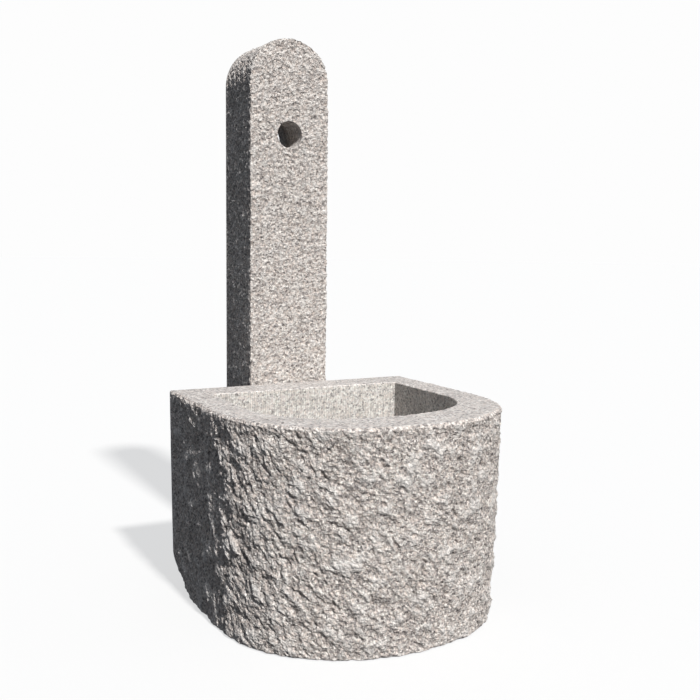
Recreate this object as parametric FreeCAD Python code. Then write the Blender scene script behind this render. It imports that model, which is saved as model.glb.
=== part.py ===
"""Granite garden fountain: a D-shaped trough with a standpipe waste, and a round-headed
column behind it that carries the feed pipe up to a bored tap hole.

Frame: millimetres, +Z up, X across the width, -Y towards the front.
The origin is on the ground, in the middle of the plan rectangle that holds both stones.
"""
import FreeCAD
import Part

import math
import os

Vec = FreeCAD.Vector
UP = Vec(0, 0, 1)
FRONTWARD = Vec(0, -1, 0)
REARWARD = Vec(0, 1, 0)

# ---- Driving dimensions: trough ----
BASIN_WIDTH = 600.0
BASIN_DEPTH = 590.0
BASIN_HEIGHT = 445.0
BASIN_STRAIGHT = 310.0        # length of the straight flanks, from the back to the bow
BASIN_BATTER = 8.0            # how far flanks and bow step in from rim to ground
BACK_WALL = 92.0
SIDE_WALL = 67.0
FRONT_WALL = 102.0
FLOOR_THICKNESS = 95.0
CAVITY_STRAIGHT = 300.0       # from the back of the stone to the start of the inner bow
CAVITY_CORNER_RADIUS = 180.0

# ---- Driving dimensions: column ----
COLUMN_WIDTH = 200.0
COLUMN_DEPTH = 155.0
COLUMN_HEIGHT = 1245.0
TAP_HOLE_RADIUS = 31.0
TAP_HOLE_HEIGHT = 1026.0
CHASE_WIDTH = 84.0            # groove in the back that holds the feed pipe
CHASE_DEPTH = 67.0
JOINT_GAP = 12.0              # joint between trough and column

# ---- Driving dimensions: how the stones are held ----
TIE_DOWEL_RADIUS = 6.0
TIE_HOLE_RADIUS = 7.0
TIE_DOWEL_SPACING = 130.0
TIE_DOWEL_HEIGHT = 250.0
TIE_DEPTH_BASIN = 60.0
TIE_DEPTH_COLUMN = 55.0
PAD_WIDTH = 40.0
PAD_HEIGHT = 120.0
PAD_SPACING = 150.0
PAD_LEVELS = (60.0, 300.0)    # undersides of the spacer pads
FOUNDATION_HOLE_RADIUS = 8.0
FOUNDATION_HOLE_DEPTH = 80.0
FOUNDATION_HOLE_SPACING = 130.0
FOUNDATION_HOLE_SETBACK = 50.0  # behind the column's front face

# ---- Driving dimensions: waste fitting and standpipe ----
DRAIN_SETBACK = 290.0         # from the back of the trough to the drain axis
DRAIN_HOLE_RADIUS = 25.0
FLANGE_RADIUS = 36.0
FLANGE_THICKNESS = 4.0
FLANGE_SEAT_RADIUS = 38.0
GASKET_THICKNESS = 2.0
BARREL_RADIUS = 20.95
BARREL_BORE = 17.0
SPIGOT_RADIUS = 20.0          # plain outlet end, for a 40 mm drain pipe
SPIGOT_LENGTH = 18.0
BARREL_END = 10.0             # height of the waste's lower end above the ground
SEAT_TOP_RADIUS = 22.0        # conical seat for the standpipe plug
SEAT_DEPTH = 12.0
UNDER_RECESS_RADIUS = 65.0
UNDER_RECESS_DEPTH = 45.0
UNDER_GASKET_THICKNESS = 3.0
SLIP_WASHER_THICKNESS = 2.0
WASHER_RADIUS = 32.0
BACK_NUT_ACROSS_FLATS = 55.0
BACK_NUT_THICKNESS = 10.0
FIT_GAP = 0.05                # radial clearance of assembled threads and sockets
SLIDE_GAP = 0.3               # radial clearance of pieces that slide apart
STANDPIPE_RADIUS = 16.0
STANDPIPE_WALL = 1.5
STANDPIPE_TOP = 365.0         # overflow level above the ground
PLUG_SPIGOT_LENGTH = 16.0
PLUG_COLLAR_RADIUS = 20.5
PLUG_COLLAR_HEIGHT = 22.0
SOCKET_SHOULDER = 2.0         # height of the pipe's foot above the flange
SEAL_TUBE_RADIUS = 1.6
SEAL_SINK = 1.76              # from the cone's skin to the centre of the seal's section
STRAINER_RADIUS = 20.0
STRAINER_SKIRT = 26.0
STRAINER_SLOTS = 8
STRAINER_SLOT_WIDTH = 4.0
STRAINER_SLOT_HEIGHT = 15.0
STRAINER_SLOT_DROP = 6.0      # from the pipe's mouth down to the slots' lower ends
STRAINER_CAP = 2.0
KNOB_STEM_RADIUS = 3.0
KNOB_RADIUS = 7.0
KNOB_FOOT_RADIUS = 5.5
KNOB_RIVET_RADIUS = 5.0
KNOB_FLANGE = 1.5             # thickness of the knob's foot ring and of its rivet head

# ---- Driving dimensions: feed pipe in the column's chase ----
PIPE_RADIUS = 9.0
PIPE_WALL = 1.0
PIPE_STANDOFF = 36.0          # from the chase floor to the pipe axis
PIPE_BOTTOM = 50.0
UNION_BOTTOM = 30.0
UNION_ACROSS_FLATS = 30.0
UNION_HEX_HEIGHT = 24.0
UNION_SOCKET_HEIGHT = 14.0
UNION_THREAD_RADIUS = 12.2    # core of a three-quarter-inch parallel pipe thread
UNION_THREAD_LENGTH = 15.0
ELBOW_RADIUS = 13.0
ELBOW_SOCKET_DEPTH = 16.0
ELBOW_THREAD_RADIUS = 9.3     # core of a half-inch parallel pipe thread
ELBOW_THREAD_LENGTH = 15.0
ELBOW_REACH = 20.0            # from the pipe axis to the face of the threaded socket
CLIP_HEIGHTS = (150.0, 530.0, 910.0)
CLIP_HEIGHT = 20.0
LINER_THICKNESS = 2.0
BAND_THICKNESS = 2.0
EAR_REACH = 27.0
EAR_THICKNESS = 3.0
EAR_SPLIT = 2.0               # gap between the two halves of a clip
CLIP_SCREW_RADIUS = 3.0
CLIP_SCREW_OFFSET = 20.0
CLIP_SCREW_LENGTH = 14.0
CLIP_SCREW_HEAD_RADIUS = 5.1
CLIP_SCREW_HEAD = 4.0
DRIVER_SLOT_WIDTH = 1.2
DRIVER_SLOT_DEPTH = 1.6
CLIP_BOSS_RADIUS = 7.0
CLIP_BOSS_LENGTH = 9.0
STUD_RADIUS = 4.0
STUD_IN_STONE = 40.0
STUD_HEAD_GAP = 2.0           # from the clip's inner face to the stud's end
PLUG_RADIUS = 6.0
PLUG_LENGTH = 45.0
PLUG_RIM_RADIUS = 7.5
PLUG_RIM_THICKNESS = 1.2

# ---- Derived places ----
PLAN_DEPTH = BASIN_DEPTH + JOINT_GAP + COLUMN_DEPTH
COLUMN_REAR = PLAN_DEPTH / 2
COLUMN_FRONT = COLUMN_REAR - COLUMN_DEPTH
BASIN_REAR = COLUMN_FRONT - JOINT_GAP
BASIN_FRONT = BASIN_REAR - BASIN_DEPTH
CHASE_FLOOR = COLUMN_REAR - CHASE_DEPTH
DRAIN_Y = BASIN_REAR - DRAIN_SETBACK
PIPE_Y = CHASE_FLOOR + PIPE_STANDOFF
FLANGE_TOP = FLOOR_THICKNESS
GASKET_BOTTOM = FLANGE_TOP - FLANGE_THICKNESS - GASKET_THICKNESS
BAND_INNER = PIPE_RADIUS + LINER_THICKNESS
BAND_OUTER = BAND_INNER + BAND_THICKNESS


# ---- Shape helpers ----
def cylinder(radius, start, direction, length):
    return Part.makeCylinder(radius, length, start, direction)


def tube(outer, inner, start, direction, length):
    return cylinder(outer, start, direction, length).cut(cylinder(inner, start, direction, length))


def block(x0, x1, y0, y1, z0, z1):
    return Part.makeBox(x1 - x0, y1 - y0, z1 - z0, Vec(x0, y0, z0))


def hexagon_prism(across_flats, start, direction, length):
    corner = across_flats / math.sqrt(3)
    side = UP if abs(direction.z) < 0.5 else Vec(1, 0, 0)
    other = direction.cross(side)
    points = []
    for step in range(7):
        angle = math.radians(60 * step)
        points.append(start + side * (corner * math.cos(angle)) + other * (corner * math.sin(angle)))
    return Part.Face(Part.makePolygon(points)).extrude(direction * length)


def save(name, *solids):
    """Writes one named piece, or one group of like pieces, to its own file."""
    shape = solids[0] if len(solids) == 1 else Part.makeCompound(list(solids))
    shape.exportStep(os.path.join("parts", name + ".step"))


# ---- Trough ----
def basin_outline(inset, z):
    """The D of the trough's outside: straight back and flanks, elliptical bow."""
    half = BASIN_WIDTH / 2 - inset
    bow_start = BASIN_REAR - BASIN_STRAIGHT
    bow_depth = BASIN_DEPTH - BASIN_STRAIGHT - inset
    rear_left, rear_right = Vec(-half, BASIN_REAR, z), Vec(half, BASIN_REAR, z)
    bow_left, bow_right = Vec(-half, bow_start, z), Vec(half, bow_start, z)
    ellipse = Part.Ellipse(Vec(0, bow_start, z), half, bow_depth)
    bow = Part.ArcOfEllipse(ellipse, math.pi, 2 * math.pi).toShape()
    edges = [
        Part.makeLine(rear_left, bow_left),
        bow,
        Part.makeLine(bow_right, rear_right),
        Part.makeLine(rear_right, rear_left),
    ]
    return Part.Wire(edges)


def cavity():
    """The hollow: sharp back corners, and a three-centred inner bow."""
    half = BASIN_WIDTH / 2 - SIDE_WALL
    rear = BASIN_REAR - BACK_WALL
    bow_start = BASIN_REAR - CAVITY_STRAIGHT
    rise = BASIN_DEPTH - FRONT_WALL - CAVITY_STRAIGHT
    corner = CAVITY_CORNER_RADIUS
    front_radius = (half ** 2 + rise ** 2 - 2 * half * corner) / (2 * (rise - corner))
    corner_x = half - corner
    turn = math.atan2(front_radius - rise, corner_x)
    z = FLOOR_THICKNESS

    def on_corner(side, angle):
        x = corner_x + corner * math.cos(angle)
        return Vec(side * x, bow_start - corner * math.sin(angle), z)

    tip = Vec(0, bow_start - rise, z)
    points = [Vec(half, rear, z), Vec(half, bow_start, z)]
    edges = [
        Part.makeLine(points[0], points[1]),
        Part.Arc(points[1], on_corner(1, turn / 2), on_corner(1, turn)).toShape(),
        Part.Arc(on_corner(1, turn), tip, on_corner(-1, turn)).toShape(),
        Part.Arc(on_corner(-1, turn), on_corner(-1, turn / 2), Vec(-half, bow_start, z)).toShape(),
        Part.makeLine(Vec(-half, bow_start, z), Vec(-half, rear, z)),
        Part.makeLine(Vec(-half, rear, z), points[0]),
    ]
    return Part.Face(Part.Wire(edges)).extrude(UP * (BASIN_HEIGHT - z + 1))


def tie_dowel_places():
    return [side * TIE_DOWEL_SPACING / 2 for side in (-1, 1)]


def basin():
    outside = Part.makeLoft([basin_outline(BASIN_BATTER, 0), basin_outline(0, BASIN_HEIGHT)], True, True)
    stone = outside.cut(cavity())
    axis_foot = Vec(0, DRAIN_Y, 0)
    stone = stone.cut(cylinder(DRAIN_HOLE_RADIUS, axis_foot, UP, FLOOR_THICKNESS))
    stone = stone.cut(cylinder(UNDER_RECESS_RADIUS, axis_foot, UP, UNDER_RECESS_DEPTH))
    stone = stone.cut(cylinder(FLANGE_SEAT_RADIUS, Vec(0, DRAIN_Y, GASKET_BOTTOM), UP, FLOOR_THICKNESS))
    for x in tie_dowel_places():
        mouth = Vec(x, BASIN_REAR, TIE_DOWEL_HEIGHT)
        stone = stone.cut(cylinder(TIE_HOLE_RADIUS, mouth, FRONTWARD, TIE_DEPTH_BASIN))
    return stone


# ---- Column ----
def column():
    half = COLUMN_WIDTH / 2
    spring = COLUMN_HEIGHT - half
    left_foot, right_foot = Vec(-half, COLUMN_FRONT, 0), Vec(half, COLUMN_FRONT, 0)
    left_spring, right_spring = Vec(-half, COLUMN_FRONT, spring), Vec(half, COLUMN_FRONT, spring)
    crown = Vec(0, COLUMN_FRONT, COLUMN_HEIGHT)
    edges = [
        Part.makeLine(left_foot, right_foot),
        Part.makeLine(right_foot, right_spring),
        Part.Arc(right_spring, crown, left_spring).toShape(),
        Part.makeLine(left_spring, left_foot),
    ]
    stone = Part.Face(Part.Wire(edges)).extrude(REARWARD * COLUMN_DEPTH)

    chase_half = CHASE_WIDTH / 2
    chase = block(-chase_half, chase_half, CHASE_FLOOR, COLUMN_REAR, 0, TAP_HOLE_HEIGHT)
    chase_head = cylinder(chase_half, Vec(0, CHASE_FLOOR, TAP_HOLE_HEIGHT), REARWARD, CHASE_DEPTH)
    stone = stone.cut(chase.fuse(chase_head))
    hole_mouth = Vec(0, COLUMN_FRONT, TAP_HOLE_HEIGHT)
    stone = stone.cut(cylinder(TAP_HOLE_RADIUS, hole_mouth, REARWARD, COLUMN_DEPTH - CHASE_DEPTH))
    for height in CLIP_HEIGHTS:
        stone = stone.cut(cylinder(PLUG_RADIUS, Vec(0, CHASE_FLOOR, height), FRONTWARD, PLUG_LENGTH))
    for x in tie_dowel_places():
        mouth = Vec(x, COLUMN_FRONT, TIE_DOWEL_HEIGHT)
        stone = stone.cut(cylinder(TIE_HOLE_RADIUS, mouth, REARWARD, TIE_DEPTH_COLUMN))
    for side in (-1, 1):
        foot = Vec(side * FOUNDATION_HOLE_SPACING / 2, COLUMN_FRONT + FOUNDATION_HOLE_SETBACK, 0)
        stone = stone.cut(cylinder(FOUNDATION_HOLE_RADIUS, foot, UP, FOUNDATION_HOLE_DEPTH))
    return stone


# ---- Pieces between the stones ----
def spacer_pads():
    pads = []
    for level in PAD_LEVELS:
        for side in (-1, 1):
            middle = side * PAD_SPACING / 2
            left, right = middle - PAD_WIDTH / 2, middle + PAD_WIDTH / 2
            pads.append(block(left, right, BASIN_REAR, COLUMN_FRONT, level, level + PAD_HEIGHT))
    return pads


def tie_dowels():
    length = TIE_DEPTH_BASIN + JOINT_GAP + TIE_DEPTH_COLUMN
    return [
        cylinder(TIE_DOWEL_RADIUS, Vec(x, BASIN_REAR - TIE_DEPTH_BASIN, TIE_DOWEL_HEIGHT), REARWARD, length)
        for x in tie_dowel_places()
    ]


# ---- Waste fitting in the trough's floor ----
def drain_ring(outer, inner, bottom, thickness):
    return tube(outer, inner, Vec(0, DRAIN_Y, bottom), UP, thickness)


def waste_body():
    """Flanged barrel, with a conical seat for the standpipe at its top."""
    flange = cylinder(FLANGE_RADIUS, Vec(0, DRAIN_Y, FLANGE_TOP - FLANGE_THICKNESS), UP, FLANGE_THICKNESS)
    spigot = cylinder(SPIGOT_RADIUS, Vec(0, DRAIN_Y, BARREL_END), UP, SPIGOT_LENGTH)
    thread_start = BARREL_END + SPIGOT_LENGTH
    barrel_length = FLANGE_TOP - FLANGE_THICKNESS / 2 - thread_start
    barrel = cylinder(BARREL_RADIUS, Vec(0, DRAIN_Y, thread_start), UP, barrel_length)
    body = flange.fuse([barrel, spigot])
    body = body.cut(cylinder(BARREL_BORE, Vec(0, DRAIN_Y, BARREL_END), UP, FLANGE_TOP))
    seat_foot = Vec(0, DRAIN_Y, FLANGE_TOP - SEAT_DEPTH)
    body = body.cut(Part.makeCone(BARREL_BORE, SEAT_TOP_RADIUS, SEAT_DEPTH, seat_foot, UP))
    return body.removeSplitter()


def waste_stack():
    """Gasket, washer and nut that clamp the waste from below, with their heights."""
    ceiling = UNDER_RECESS_DEPTH
    inner = BARREL_RADIUS + FIT_GAP
    under_gasket = drain_ring(WASHER_RADIUS, inner, ceiling - UNDER_GASKET_THICKNESS, UNDER_GASKET_THICKNESS)
    washer_bottom = ceiling - UNDER_GASKET_THICKNESS - SLIP_WASHER_THICKNESS
    slip_washer = drain_ring(WASHER_RADIUS, inner, washer_bottom, SLIP_WASHER_THICKNESS)
    nut_foot = Vec(0, DRAIN_Y, washer_bottom - BACK_NUT_THICKNESS)
    nut = hexagon_prism(BACK_NUT_ACROSS_FLATS, nut_foot, UP, BACK_NUT_THICKNESS)
    back_nut = nut.cut(cylinder(inner, nut_foot, UP, BACK_NUT_THICKNESS))
    return under_gasket, slip_washer, back_nut


# ---- Standpipe, which lifts out of the waste ----
def seat_radius_at(z):
    """Radius of the conical seat at height z."""
    share = (z - (FLANGE_TOP - SEAT_DEPTH)) / SEAT_DEPTH
    return BARREL_BORE + (SEAT_TOP_RADIUS - BARREL_BORE) * share


def standpipe_plug():
    """Bored plug: a spigot in the barrel, a cone over the seat and a collar round the pipe."""
    cone_bottom = FLANGE_TOP - SEAT_DEPTH
    spigot_radius = BARREL_BORE - SLIDE_GAP
    spigot_foot = Vec(0, DRAIN_Y, cone_bottom - PLUG_SPIGOT_LENGTH)
    spigot = cylinder(spigot_radius, spigot_foot, UP, PLUG_SPIGOT_LENGTH)
    top_radius = SEAT_TOP_RADIUS - 2 * SLIDE_GAP
    cone = Part.makeCone(spigot_radius, top_radius, SEAT_DEPTH, Vec(0, DRAIN_Y, cone_bottom), UP)
    collar = cylinder(PLUG_COLLAR_RADIUS, Vec(0, DRAIN_Y, FLANGE_TOP), UP, PLUG_COLLAR_HEIGHT)
    body = spigot.fuse([cone, collar])
    bore = STANDPIPE_RADIUS - STANDPIPE_WALL
    body = body.cut(cylinder(bore, spigot_foot, UP, STANDPIPE_TOP))
    socket_foot = Vec(0, DRAIN_Y, FLANGE_TOP + SOCKET_SHOULDER)
    body = body.cut(cylinder(STANDPIPE_RADIUS + FIT_GAP, socket_foot, UP, PLUG_COLLAR_HEIGHT))
    return body.cut(standpipe_seal()).removeSplitter()


def standpipe_seal():
    """Rubber ring sunk in a groove of the plug's cone."""
    z = FLANGE_TOP - SEAT_DEPTH / 2
    ring_radius = seat_radius_at(z) - SLIDE_GAP - SEAL_SINK
    return Part.makeTorus(ring_radius, SEAL_TUBE_RADIUS, Vec(0, DRAIN_Y, z), UP)


def standpipe_tube():
    foot = FLANGE_TOP + SOCKET_SHOULDER
    inner = STANDPIPE_RADIUS - STANDPIPE_WALL
    return drain_ring(STANDPIPE_RADIUS, inner, foot, STANDPIPE_TOP - foot)


def strainer():
    """Slotted cap over the pipe's mouth, with a plain ring that grips the pipe."""
    bottom = STANDPIPE_TOP - STRAINER_SKIRT / 2
    cap = cylinder(STRAINER_RADIUS, Vec(0, DRAIN_Y, bottom), UP, STRAINER_SKIRT)
    inner = STANDPIPE_RADIUS + FIT_GAP
    cap = cap.cut(cylinder(inner, Vec(0, DRAIN_Y, bottom), UP, STRAINER_SKIRT - STRAINER_CAP))
    slot_bottom = STANDPIPE_TOP - STRAINER_SLOT_DROP
    slot_start = inner - STRAINER_CAP
    for index in range(STRAINER_SLOTS):
        half = STRAINER_SLOT_WIDTH / 2
        slot = block(slot_start, STRAINER_RADIUS, -half, half, slot_bottom, slot_bottom + STRAINER_SLOT_HEIGHT)
        slot.rotate(Vec(0, 0, 0), UP, 360 * index / STRAINER_SLOTS)
        slot.translate(Vec(0, DRAIN_Y, 0))
        cap = cap.cut(slot)
    cap_underside = Vec(0, DRAIN_Y, bottom + STRAINER_SKIRT - STRAINER_CAP)
    return cap.cut(cylinder(KNOB_STEM_RADIUS + FIT_GAP, cap_underside, UP, STRAINER_CAP))


def lift_knob():
    """Turned knob, riveted through the strainer's top."""
    cap_top = STANDPIPE_TOP + STRAINER_SKIRT / 2
    cap_underside = cap_top - STRAINER_CAP
    stem = cylinder(KNOB_STEM_RADIUS, Vec(0, DRAIN_Y, cap_underside), UP, STRAINER_CAP + KNOB_RADIUS)
    foot_ring = cylinder(KNOB_FOOT_RADIUS, Vec(0, DRAIN_Y, cap_top), UP, KNOB_FLANGE)
    head = Part.makeSphere(KNOB_RADIUS, Vec(0, DRAIN_Y, cap_top + KNOB_RADIUS + KNOB_FLANGE / 2))
    rivet = cylinder(KNOB_RIVET_RADIUS, Vec(0, DRAIN_Y, cap_underside - KNOB_FLANGE), UP, KNOB_FLANGE)
    return stem.fuse([foot_ring, head, rivet]).removeSplitter()


# ---- Feed pipe and its clips ----
def feed_pipe():
    top = TAP_HOLE_HEIGHT - ELBOW_RADIUS
    foot = Vec(0, PIPE_Y, PIPE_BOTTOM)
    return tube(PIPE_RADIUS, PIPE_RADIUS - PIPE_WALL, foot, UP, top - PIPE_BOTTOM)


def feed_elbow():
    """Elbow at the pipe's head: a socket below and a threaded socket towards the tap hole."""
    centre = Vec(0, PIPE_Y, TAP_HOLE_HEIGHT)
    pipe_top = TAP_HOLE_HEIGHT - ELBOW_RADIUS
    socket_foot = Vec(0, PIPE_Y, pipe_top - ELBOW_SOCKET_DEPTH)
    outside = Part.makeSphere(ELBOW_RADIUS, centre)
    outside = outside.fuse([
        cylinder(ELBOW_RADIUS, socket_foot, UP, ELBOW_SOCKET_DEPTH + ELBOW_RADIUS),
        cylinder(ELBOW_RADIUS, centre, FRONTWARD, ELBOW_REACH),
    ])
    face = centre + FRONTWARD * ELBOW_REACH
    waterway = PIPE_RADIUS - PIPE_WALL
    inside = cylinder(PIPE_RADIUS + FIT_GAP, socket_foot, UP, ELBOW_SOCKET_DEPTH).fuse([
        cylinder(waterway, socket_foot, UP, ELBOW_SOCKET_DEPTH + ELBOW_RADIUS),
        Part.makeSphere(waterway, centre),
        cylinder(waterway, centre, FRONTWARD, ELBOW_REACH),
        cylinder(ELBOW_THREAD_RADIUS, face, REARWARD, ELBOW_THREAD_LENGTH),
    ])
    return outside.cut(inside).removeSplitter()


def feed_union():
    """Threaded union at the pipe's foot, open downwards for the supply."""
    foot = Vec(0, PIPE_Y, UNION_BOTTOM)
    height = UNION_HEX_HEIGHT + UNION_SOCKET_HEIGHT
    body = hexagon_prism(UNION_ACROSS_FLATS, foot, UP, UNION_HEX_HEIGHT)
    body = body.fuse(cylinder(ELBOW_RADIUS, foot, UP, height))
    body = body.cut(cylinder(UNION_THREAD_RADIUS, foot, UP, UNION_THREAD_LENGTH))
    body = body.cut(cylinder(PIPE_RADIUS - PIPE_WALL, foot, UP, height))
    return body.cut(cylinder(PIPE_RADIUS + FIT_GAP, Vec(0, PIPE_Y, PIPE_BOTTOM), UP, height)).removeSplitter()


def clip_half(height, side):
    """Half of a pipe clip: side 1 is the rear half and -1 the front half with the stud boss."""
    bottom = height - CLIP_HEIGHT / 2
    foot = Vec(0, PIPE_Y, bottom)
    gap = EAR_SPLIT / 2
    band = cylinder(BAND_OUTER, foot, UP, CLIP_HEIGHT)
    near, far = sorted((PIPE_Y + side * gap, PIPE_Y + side * (gap + EAR_THICKNESS)))
    ears = block(-EAR_REACH, EAR_REACH, near, far, bottom, bottom + CLIP_HEIGHT)
    half = band.fuse(ears)
    if side < 0:
        boss_start = Vec(0, PIPE_Y - BAND_INNER, height)
        half = half.fuse(cylinder(CLIP_BOSS_RADIUS, boss_start, FRONTWARD, CLIP_BOSS_LENGTH))
    half = half.cut(cylinder(BAND_INNER, foot, UP, CLIP_HEIGHT))
    keep_from, keep_to = sorted((PIPE_Y + side * gap, PIPE_Y + side * EAR_REACH))
    half = half.common(block(-EAR_REACH, EAR_REACH, keep_from, keep_to, bottom, bottom + CLIP_HEIGHT))
    for x in (-CLIP_SCREW_OFFSET, CLIP_SCREW_OFFSET):
        start = Vec(x, PIPE_Y - CLIP_SCREW_LENGTH, height)
        half = half.cut(cylinder(CLIP_SCREW_RADIUS + FIT_GAP, start, REARWARD, 2 * CLIP_SCREW_LENGTH))
    if side < 0:
        boss_end = Vec(0, PIPE_Y - BAND_INNER - CLIP_BOSS_LENGTH, height)
        half = half.cut(cylinder(STUD_RADIUS + FIT_GAP, boss_end, REARWARD, CLIP_BOSS_LENGTH - STUD_HEAD_GAP / 2))
    return half.removeSplitter()


def clip_liner(height):
    return tube(BAND_INNER, PIPE_RADIUS, Vec(0, PIPE_Y, height - CLIP_HEIGHT / 2), UP, CLIP_HEIGHT)


def clip_screws(height):
    """The two cheese-head screws that close a clip, put in from behind."""
    head_seat = PIPE_Y + EAR_SPLIT / 2 + EAR_THICKNESS
    screws = []
    for x in (-CLIP_SCREW_OFFSET, CLIP_SCREW_OFFSET):
        shank = cylinder(CLIP_SCREW_RADIUS, Vec(x, head_seat, height), FRONTWARD, CLIP_SCREW_LENGTH)
        head = cylinder(CLIP_SCREW_HEAD_RADIUS, Vec(x, head_seat, height), REARWARD, CLIP_SCREW_HEAD)
        left, right = x - DRIVER_SLOT_WIDTH / 2, x + DRIVER_SLOT_WIDTH / 2
        head_end = head_seat + CLIP_SCREW_HEAD
        low, high = height - CLIP_SCREW_HEAD_RADIUS, height + CLIP_SCREW_HEAD_RADIUS
        slot = block(left, right, head_end - DRIVER_SLOT_DEPTH, head_end, low, high)
        screws.append(shank.fuse(head).cut(slot).removeSplitter())
    return screws


def clip_stud(height):
    start = Vec(0, PIPE_Y - BAND_INNER - STUD_HEAD_GAP, height)
    length = start.y - CHASE_FLOOR + STUD_IN_STONE
    return cylinder(STUD_RADIUS, start, FRONTWARD, length)


def wall_plug(height):
    """Plastic plug in the stone, with a rim on the chase floor."""
    mouth = Vec(0, CHASE_FLOOR, height)
    body = cylinder(PLUG_RADIUS - FIT_GAP, mouth, FRONTWARD, PLUG_LENGTH)
    rim = cylinder(PLUG_RIM_RADIUS, mouth, REARWARD, PLUG_RIM_THICKNESS)
    bore_start = mouth + REARWARD * PLUG_RIM_THICKNESS
    return body.fuse(rim).cut(cylinder(STUD_RADIUS + FIT_GAP, bore_start, FRONTWARD, PLUG_LENGTH))


def main():
    os.makedirs("parts", exist_ok=True)
    save("basin", basin())
    save("column", column())
    save("spacer_pads", *spacer_pads())
    save("tie_dowels", *tie_dowels())

    save("waste_body", waste_body())
    save("waste_gasket", drain_ring(FLANGE_RADIUS, BARREL_RADIUS + FIT_GAP, GASKET_BOTTOM, GASKET_THICKNESS))
    under_gasket, slip_washer, back_nut = waste_stack()
    save("waste_under_gasket", under_gasket)
    save("waste_slip_washer", slip_washer)
    save("waste_back_nut", back_nut)

    save("standpipe_plug", standpipe_plug())
    save("standpipe_seal", standpipe_seal())
    save("standpipe_tube", standpipe_tube())
    save("standpipe_strainer", strainer())
    save("standpipe_knob", lift_knob())

    save("feed_pipe", feed_pipe())
    save("feed_elbow", feed_elbow())
    save("feed_union", feed_union())
    save("pipe_clip_fronts", *[clip_half(height, -1) for height in CLIP_HEIGHTS])
    save("pipe_clip_backs", *[clip_half(height, 1) for height in CLIP_HEIGHTS])
    save("pipe_clip_liners", *[clip_liner(height) for height in CLIP_HEIGHTS])
    save("pipe_clip_screws", *[screw for height in CLIP_HEIGHTS for screw in clip_screws(height)])
    save("pipe_clip_studs", *[clip_stud(height) for height in CLIP_HEIGHTS])
    save("wall_plugs", *[wall_plug(height) for height in CLIP_HEIGHTS])


main()
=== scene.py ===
import math

import bmesh
import bpy
from bpy.props import FloatProperty, FloatVectorProperty, IntProperty, PointerProperty
from mathutils import Euler, Matrix, Vector, noise


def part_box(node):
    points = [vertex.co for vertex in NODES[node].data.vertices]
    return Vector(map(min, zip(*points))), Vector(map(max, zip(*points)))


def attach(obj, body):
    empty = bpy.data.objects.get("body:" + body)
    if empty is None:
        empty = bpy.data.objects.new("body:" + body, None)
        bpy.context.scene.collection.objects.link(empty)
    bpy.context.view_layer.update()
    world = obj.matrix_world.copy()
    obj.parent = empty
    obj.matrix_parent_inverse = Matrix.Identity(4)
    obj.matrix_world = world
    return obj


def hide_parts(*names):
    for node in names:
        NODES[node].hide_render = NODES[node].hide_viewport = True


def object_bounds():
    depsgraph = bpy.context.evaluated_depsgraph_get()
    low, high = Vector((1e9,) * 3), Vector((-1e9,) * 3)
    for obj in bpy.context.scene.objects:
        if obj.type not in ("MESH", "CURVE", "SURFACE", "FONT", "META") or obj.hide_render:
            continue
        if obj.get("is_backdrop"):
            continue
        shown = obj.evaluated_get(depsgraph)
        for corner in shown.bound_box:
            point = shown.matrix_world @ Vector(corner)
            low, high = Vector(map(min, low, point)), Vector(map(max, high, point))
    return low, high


bl_info = {
    "name": "Granite Fountain",
    "version": (1, 0, 0),
    "blender": (4, 5, 0),
    "location": "View3D > Sidebar > Fountain",
    "description": "Hewn granite trough and column with their waste, standpipe and feed pipe",
    "category": "Add Mesh",
}

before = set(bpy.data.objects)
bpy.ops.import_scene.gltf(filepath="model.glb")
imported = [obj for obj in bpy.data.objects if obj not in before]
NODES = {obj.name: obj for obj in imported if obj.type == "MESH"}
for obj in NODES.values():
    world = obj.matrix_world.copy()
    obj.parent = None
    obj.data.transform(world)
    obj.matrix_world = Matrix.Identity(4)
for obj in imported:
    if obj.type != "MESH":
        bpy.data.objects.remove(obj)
CAD_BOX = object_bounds()
TROUGH_LOW, TROUGH_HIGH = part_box("basin")
COLUMN_LOW, COLUMN_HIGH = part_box("column")
WASTE_LOW, WASTE_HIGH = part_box("waste_body")

# ---- Stone sizes that the frame's boxes don't give, in metres ----
TROUGH_STRAIGHT = 0.310
BACK_WALL = 0.092
SIDE_WALL = 0.067
FRONT_WALL = 0.102
CAVITY_STRAIGHT = 0.300
BOW_FULLNESS_LEFT = 2.08
BOW_FULLNESS_RIGHT = 2.30
CAVITY_CORNER = 0.180
FLANGE_SEAT = 0.038
DRAIN_HOLE = 0.025
DRAIN_LEDGE = 0.089
RECESS_RADIUS = 0.065
RECESS_DEPTH = 0.045
TAP_HOLE_RADIUS = 0.031
TAP_HOLE_HEIGHT = 1.026
CHASE_HALF = 0.0411
CHASE_DEPTH = 0.067
DOWEL_HOLE_RADIUS = 0.008
DOWEL_HOLE_DEPTH = 0.080
DOWEL_HOLE_SIDE = 0.065
DOWEL_HOLE_SETBACK = 0.050
DRAIN = Vector((0.0, (WASTE_LOW.y + WASTE_HIGH.y) / 2, 0.0))
FLOOR_TOP = WASTE_HIGH.z
COMB_PITCH = 0.0058

# ---- How finely the stone is divided ----
FLANK_STEPS = 74
BOW_STEPS = 290
REAR_STEPS = 38
CORNER_STEPS = 4
WALL_ROWS = 146
COLUMN_COLUMNS = 66
COLUMN_ROWS = 382
HEAD_ROWS = 34
COLUMN_LAYERS = 52
HOLE_RING = 9
HOLE_WINDOW = 16


def lerp(a, b, t):
    return a + (b - a) * t


def smooth(t):
    t = min(max(t, 0.0), 1.0)
    return t * t * (3 - 2 * t)


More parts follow.
